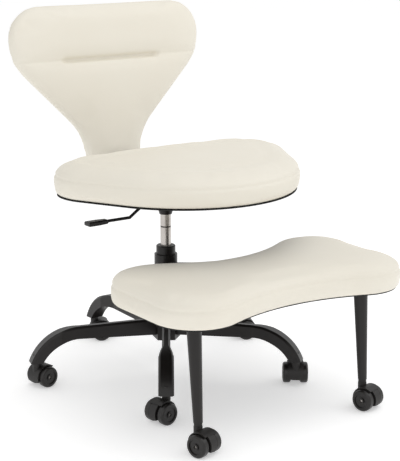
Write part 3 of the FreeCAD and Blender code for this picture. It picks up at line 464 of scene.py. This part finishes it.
def held_group(piece, held):
    """A vertex group that says how firmly each point is held, in tenths."""
    group = piece.vertex_groups.new(name="held")
    tenths = np.round(held, 1)
    for level in np.unique(tenths):
        if level > 0:
            chosen = np.flatnonzero(tenths == level)
            group.add([int(index) for index in chosen], float(level), "REPLACE")
    return group


def filled(piece, held):
    """Fill a cushion with pressure; held says how firmly each point stays where it is sewn or rests."""
    before = mesh_points(piece.data)
    group = held_group(piece, held)
    cloth = piece.modifiers.new("fill", "CLOTH")
    settings = cloth.settings
    settings.quality = 5
    settings.mass = 0.4
    settings.tension_stiffness = 25
    settings.compression_stiffness = 25
    settings.shear_stiffness = 12
    settings.bending_stiffness = 4
    settings.use_pressure = True
    settings.uniform_pressure_force = sizes().fill_pressure
    settings.vertex_group_mass = group.name
    settings.effector_weights.gravity = 0
    cloth.point_cache.frame_start = 1
    cloth.point_cache.frame_end = FILL_FRAMES
    for number in range(1, FILL_FRAMES + 1):
        bpy.context.scene.frame_set(number)
    applied(piece)
    bpy.context.scene.frame_set(1)
    step = mesh_points(piece.data) - before
    length = np.linalg.norm(step, axis=1, keepdims=True)
    step *= np.minimum(1.0, sizes().swell_limit / np.maximum(length, SMALLEST_STEP))
    move_points(piece.data, before + step)


def subdivided(piece):
    """Make a piece's mesh finer once, and shade it smooth."""
    finer = piece.modifiers.new("finer", "SUBSURF")
    finer.levels = 1
    finer.render_levels = 1
    applied(piece)
    piece.data.polygons.foreach_set("use_smooth", [True] * len(piece.data.polygons))


def sewn(piece, distance, width, depth):
    """Draw the leather in along a line, given the distance of every point from it."""
    points = mesh_points(piece.data)
    normals = mesh_normals(piece.data)
    share = np.exp(-(distance / width) ** 2)
    move_points(piece.data, points - normals * (share * depth)[:, None])


def covers(piece, node, body):
    """Let a leather piece stand for a soft part of the frame."""
    piece.data.materials.append(leather())
    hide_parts(node)
    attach(piece, body)


def upholstered(name, node, hold, sew):
    """A cushion: an even mesh, filled where nothing holds it, then sewn along its seams."""
    chosen = sizes()
    piece = remeshed_copy(name, node, chosen.voxel)
    smoothed(piece, FIRST_SMOOTHING)
    points = mesh_points(piece.data)
    held = hold(points)
    inset = chosen.start_inset * (1 - held)
    move_points(piece.data, points - mesh_normals(piece.data) * inset[:, None])
    filled(piece, held)
    smoothed(piece, FILLED_SMOOTHING)
    subdivided(piece)
    sew(piece)
    return piece


def level_hold(node):
    """Holds a cushion's underside, where it rests on its board and cover."""
    low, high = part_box(node)

    def hold(points):
        share = (points[:, 2] - low.z) / (high.z - low.z)
        return np.clip(HOLD_START - share * UNDERSIDE_FALL, 0, 1)

    return hold


def band_seam_level(node):
    """Height of the seam between the top and the side band of a level cushion."""
    low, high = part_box(node)
    return low.z + sizes().band_seam_share * (high.z - low.z)


def band_seam(node):
    """Sews the seam between the top and the side band of a level cushion."""
    chosen = sizes()
    level = band_seam_level(node)

    def sew(piece):
        points = mesh_points(piece.data)
        sideways = 1 - np.abs(mesh_normals(piece.data)[:, 2])
        depth = chosen.band_seam_depth * np.clip(sideways * SIDE_GAIN, 0, 1)
        sewn(piece, points[:, 2] - level, chosen.seam_width, depth)

    return sew


def band_and_side_seam(node):
    """Sews the band seam, and the upright seam that closes the side band below it."""
    chosen = sizes()
    level = band_seam_level(node)
    sew_band = band_seam(node)

    def sew(piece):
        sew_band(piece)
        points = mesh_points(piece.data)
        away = np.hypot(*(points[:, :2] - np.array(chosen.side_seam_place)).T)
        below = np.clip((level - points[:, 2]) / chosen.seam_width, 0, 1)
        sewn(piece, away, chosen.seam_width, chosen.band_seam_depth * below)

    return sew


def back_places(points):
    """Points in the back's own width, height and depth in front of its rear face."""
    chosen = sizes()
    pivot = Vector((0, chosen.back_setback, chosen.back_pivot))
    lean = Matrix.Rotation(chosen.back_recline, 4, "X")
    matrix = np.array(Matrix.Translation(pivot) @ lean @ Matrix.Translation(-pivot))
    turned = points @ matrix[:3, :3].T + matrix[:3, 3]
    return turned[:, 0], turned[:, 2], chosen.back_setback - turned[:, 1]


def back_hold(points):
    """Holds the back where it rests on its panel, and along its sewn line."""
    _, height, depth = back_places(points)
    resting = np.clip(HOLD_START - depth / REAR_HOLD_DEPTH, 0, 1)
    pinch = np.exp(-((height - sizes().slit_height) / SLIT_HOLD_WIDTH) ** 2)
    return np.clip(resting + pinch, 0, 1)


def back_slit(piece):
    """Sews the line across the front of the back, with a wider pinch that ends softly."""
    chosen = sizes()
    across, height, depth = back_places(mesh_points(piece.data))
    front = np.clip((depth - FRONT_START) / FRONT_EASE, 0, 1)
    away = height - chosen.slit_height
    end = np.clip((chosen.slit_half_length - np.abs(across)) / SLIT_END_EASE, 0, 1)
    ease = end * end * (3 - 2 * end)
    line_depth = SLIT_LINE_DEPTH + chosen.slit_depth * (1 - PINCH_SHARE) * ease
    sewn(piece, away, PINCH_WIDTH, chosen.slit_depth * PINCH_SHARE * ease * front)
    sewn(piece, away, chosen.seam_width, line_depth * front)


class CHAIR_OT_seat_cushion(bpy.types.Operator):
    """Upholster the seat"""

    bl_idname = "chair.seat_cushion"
    bl_label = "Seat cushion"

    def execute(self, context):
        cushion = upholstered("seat_leather", "seat_cushion",
                              level_hold("seat_cushion"), band_seam("seat_cushion"))
        covers(cushion, "seat_cushion", "seat")
        return {"FINISHED"}


class CHAIR_OT_stool_cushion(bpy.types.Operator):
    """Upholster the stool, whose side band is closed by an upright seam on its left lobe"""

    bl_idname = "chair.stool_cushion"
    bl_label = "Stool cushion"

    def execute(self, context):
        cushion = upholstered("stool_leather", "stool_cushion",
                              level_hold("stool_cushion"), band_and_side_seam("stool_cushion"))
        covers(cushion, "stool_cushion", "stool")
        return {"FINISHED"}


class CHAIR_OT_back_cushion(bpy.types.Operator):
    """Upholster the back, with its sewn line and deep pinch, and its rear panel"""

    bl_idname = "chair.back_cushion"
    bl_label = "Back cushion"

    def execute(self, context):
        cushion = upholstered("back_leather", "back_cushion", back_hold, back_slit)
        covers(cushion, "back_cushion", "seat")
        panel = remeshed_copy("back_rear_leather", "back_panel", sizes().voxel * PANEL_VOXEL_SHARE)
        smoothed(panel, PANEL_SMOOTHING)
        subdivided(panel)
        covers(panel, "back_panel", "seat")
        return {"FINISHED"}


class CHAIR_OT_painted_steel(bpy.types.Operator):
    """Paint the base, the stool's frame and legs, and the seat's metalwork"""

    bl_idname = "chair.painted_steel"
    bl_label = "Painted steel"

    def execute(self, context):
        paint = black_paint("black_paint")
        paint_nodes(BASE_LEGS + ["star_hub", "outer_cylinder"], paint)
        paint_nodes(["swivel_plate", "back_bracket"], paint)
        paint_nodes(["stool_sleeve", "stool_frame", "stool_leg_left", "stool_leg_right"], paint)
        return {"FINISHED"}


class CHAIR_OT_gas_lift(bpy.types.Operator):
    """Finish the gas lift's tube, rod, bearing and button, and all the bushes and sockets"""

    bl_idname = "chair.gas_lift"
    bl_label = "Gas lift and bushes"

    def execute(self, context):
        # The tube's groove gets a painted dark band of shade.
        ground = ground_steel("ground_tube", line_scales=(8.0, 8.0, 1500.0), groove=GROOVE_HEIGHT)
        turned = ground_steel("turned_steel", line_scales=(30.0, 30.0, 900.0))
        bush = black_plastic("bush_plastic", base_roughness=0.34, texture=0.15)
        paint_nodes(["pressure_tube"], ground)
        paint_nodes(["piston_rod", "thrust_bearing", "valve_button"], turned)
        paint_nodes(["guide_bush", "sleeve_bushes", "base_sockets"], bush)
        return {"FINISHED"}


class CHAIR_OT_lever(bpy.types.Operator):
    """Finish the lift lever and its handle"""

    bl_idname = "chair.lever"
    bl_label = "Lift lever"

    def execute(self, context):
        paint_nodes(["lever_rod"], black_paint("lever_paint"))
        paint_nodes(["lever_handle"], black_plastic("handle_plastic", base_roughness=0.36, texture=0.5))
        return {"FINISHED"}


class CHAIR_OT_casters(bpy.types.Operator):
    """Finish the casters: hoods, pins and wheels"""

    bl_idname = "chair.casters"
    bl_label = "Casters"

    def execute(self, context):
        hood = black_plastic("hood_plastic", base_roughness=0.4, texture=0.5)
        wheel = black_plastic("wheel_plastic", base_roughness=0.24, texture=0.15)
        pin = ground_steel("pin_steel", line_scales=(200.0, 200.0, 200.0))
        for name in BASE_CASTERS + STOOL_CASTERS:
            paint_nodes([f"{name}_hood"], hood)
            paint_nodes([f"{name}_pins"], pin)
            paint_nodes([f"{name}_wheel_a", f"{name}_wheel_b"], wheel)
        return {"FINISHED"}


class CHAIR_OT_underside(bpy.types.Operator):
    """Finish what is under and behind the cushions: dust cloth, boards, screws and bolts"""

    bl_idname = "chair.underside"
    bl_label = "Covers and fasteners"

    def execute(self, context):
        fastener = ground_steel("fastener_steel", line_scales=(300.0, 300.0, 300.0))
        paint_nodes(["seat_cover", "stool_cover"], dust_cloth())
        paint_nodes(["seat_board", "stool_board"], plywood())
        paint_nodes(["seat_screws", "back_bolts"], fastener)
        return {"FINISHED"}


class CHAIR_OT_stage(bpy.types.Operator):
    """Set up the floor, the light and the camera"""

    bl_idname = "chair.stage"
    bl_label = "Studio"

    def execute(self, context):
        scene = context.scene
        scene.view_settings.view_transform = "Standard"
        make_floor(scene)
        light_sky(scene)
        hang_lamp(scene, "overhead_light", studio().overhead_power, place=(0.4, -0.7, 3.2), size=3.0)
        hang_lamp(scene, "key_light", studio().key_power, place=(2.2, -1.6, 2.6), size=2.0)
        hang_lamp(scene, "fill_light", studio().fill_power, place=(-2.4, -2.6, 1.9), size=2.4)
        place_camera(scene)
        return {"FINISHED"}


def make_floor(scene):
    """A pale floor that shows white behind the chair and keeps its shadow."""
    mesh = bpy.data.meshes.new("studio_floor")
    corners = [(-1, -1), (1, -1), (1, 1), (-1, 1)]
    points = [(across * FLOOR_REACH, along * FLOOR_REACH, 0) for across, along in corners]
    mesh.from_pydata(points, [], [(0, 1, 2, 3)])
    floor = bpy.data.objects.new("studio_floor", mesh)
    scene.collection.objects.link(floor)
    finish = Finish("floor_paper")
    finish.surface({
        "Base Color": FLOOR_TONE,
        "Roughness": 0.9,
        "Specular IOR Level": 0.0,
        "Emission Color": WHITE,
        "Emission Strength": studio().floor_glow,
    })
    mesh.materials.append(finish.material)


def light_sky(scene):
    """Even light from all round, and a white background."""
    world = bpy.data.worlds.new("studio")
    scene.world = world
    nodes = Nodes(world)
    path = nodes.add("ShaderNodeLightPath")
    seen = path["Is Camera Ray"] + path["Is Glossy Ray"] + path["Is Transmission Ray"]

    def background(strength):
        values = {"Color": WHITE, "Strength": strength}
        return nodes.add("ShaderNodeBackground", values=values)["Background"]

    values = {0: seen, 1: background(studio().sky), 2: background(1.0)}
    both = nodes.add("ShaderNodeMixShader", values=values)["Shader"]
    nodes.feed(world.node_tree.nodes["World Output"], {"Surface": both})


def hang_lamp(scene, name, power, place, size):
    """A large soft lamp that faces the chair."""
    data = bpy.data.lights.new(name, "AREA")
    data.energy = power
    data.size = size
    lamp = bpy.data.objects.new(name, data)
    lamp.location = place
    aim = LAMP_AIM - Vector(place)
    lamp.rotation_euler = aim.to_track_quat("-Z", "Y").to_euler()
    scene.collection.objects.link(lamp)


def place_camera(scene):
    """The camera that takes the photograph's view."""
    chosen = studio()
    data = bpy.data.cameras.new("photo_camera")
    data.sensor_width = SENSOR_WIDTH
    data.sensor_fit = "AUTO"
    data.lens = chosen.lens
    data.clip_end = SIGHT_LIMIT
    camera = bpy.data.objects.new("photo_camera", data)
    camera.location = chosen.camera_place
    camera.rotation_euler = (math.pi / 2 - chosen.camera_drop, 0, -chosen.camera_turn)
    scene.collection.objects.link(camera)
    scene.camera = camera


class CHAIR_PT_panel(bpy.types.Panel):
    """The chair's pieces, in the order that they are made"""

    bl_idname = "CHAIR_PT_panel"
    bl_label = "Cross-legged chair"
    bl_space_type = "VIEW_3D"
    bl_region_type = "UI"
    bl_category = "Chair"

    def draw(self, context):
        for step in STEPS:
            self.layout.operator(step.bl_idname)


STEPS = (
    CHAIR_OT_seat_cushion,
    CHAIR_OT_stool_cushion,
    CHAIR_OT_back_cushion,
    CHAIR_OT_painted_steel,
    CHAIR_OT_gas_lift,
    CHAIR_OT_lever,
    CHAIR_OT_casters,
    CHAIR_OT_underside,
    CHAIR_OT_stage,
)
GROUPS = {"chair_sizes": ChairSizes, "chair_colours": ChairColours, "chair_studio": ChairStudio}


def register():
    for group in GROUPS.values():
        bpy.utils.register_class(group)
    for step in STEPS:
        bpy.utils.register_class(step)
    bpy.utils.register_class(CHAIR_PT_panel)
    for name, group in GROUPS.items():
        setattr(bpy.types.Scene, name, bpy.props.PointerProperty(type=group))


def unregister():
    for name in GROUPS:
        delattr(bpy.types.Scene, name)
    bpy.utils.unregister_class(CHAIR_PT_panel)
    for step in reversed(STEPS):
        bpy.utils.unregister_class(step)
    for group in GROUPS.values():
        bpy.utils.unregister_class(group)


def main():
    register()
    for step in STEPS:
        group, name = step.bl_idname.split(".")
        getattr(getattr(bpy.ops, group), name)()


if __name__ == "__main__":
    main()
